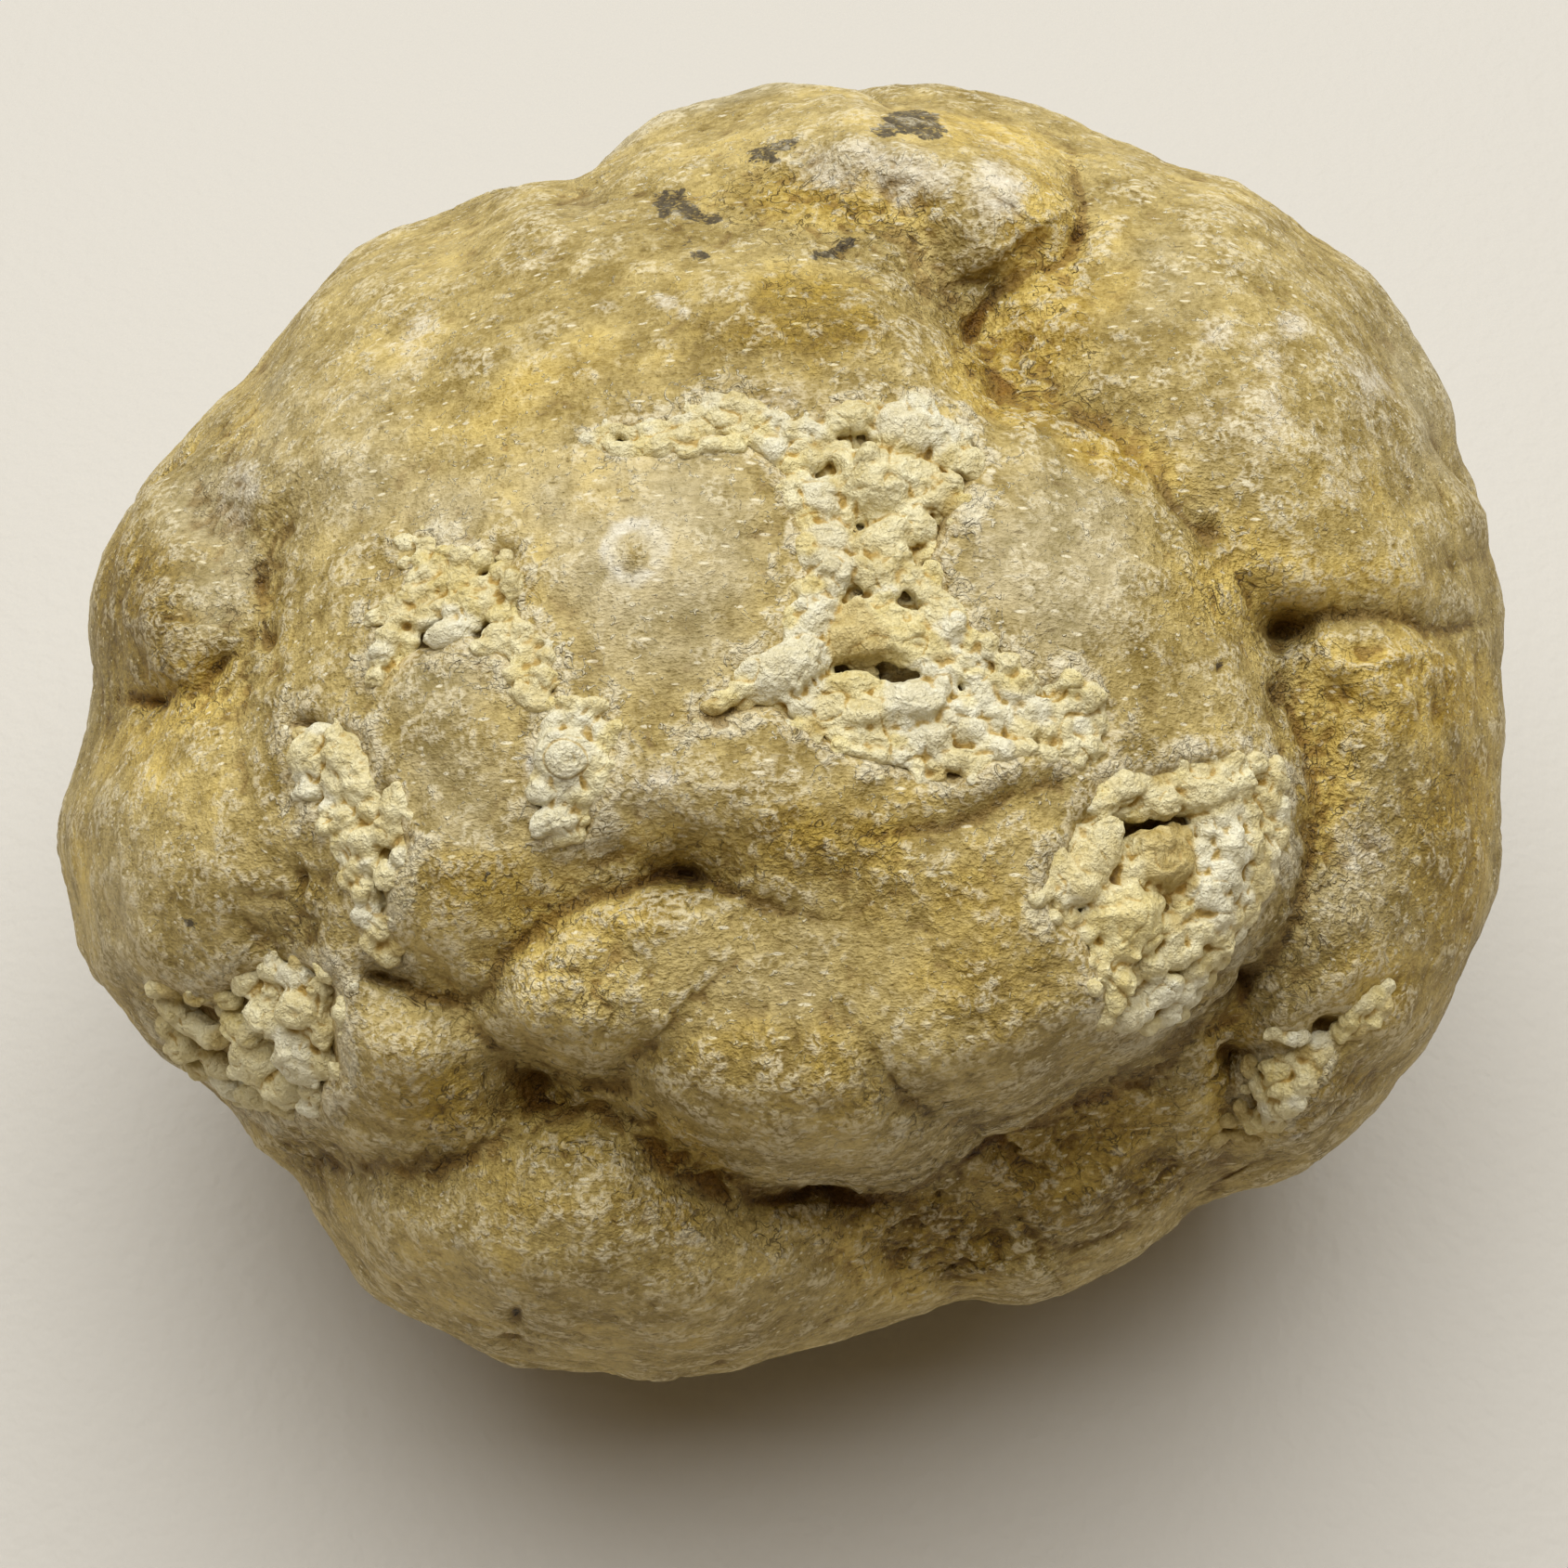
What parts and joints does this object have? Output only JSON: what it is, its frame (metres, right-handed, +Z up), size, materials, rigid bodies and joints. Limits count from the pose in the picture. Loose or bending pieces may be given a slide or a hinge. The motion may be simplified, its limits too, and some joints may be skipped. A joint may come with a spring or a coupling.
{
  "type": "agate geode",
  "caption": "Whole, uncut agate geode: a lobed tan chalcedony nodule with folded overhanging lips and knobby cream patches, resting on a small flat spot.",
  "frame": {"origin": "centre of the stone's footprint, in the plane of the flat spot it rests on", "axes": "+Z up, +X along the stone's longest side, -Y towards the side with the overhanging lip"},
  "size_m": [0.1123, 0.1075, 0.0875],
  "materials": {
    "rind": "matt, slightly waxy chalcedony"
  },
  "bodies": {
    "root": {"geode": "rind"}
  },
  "joints": []
}
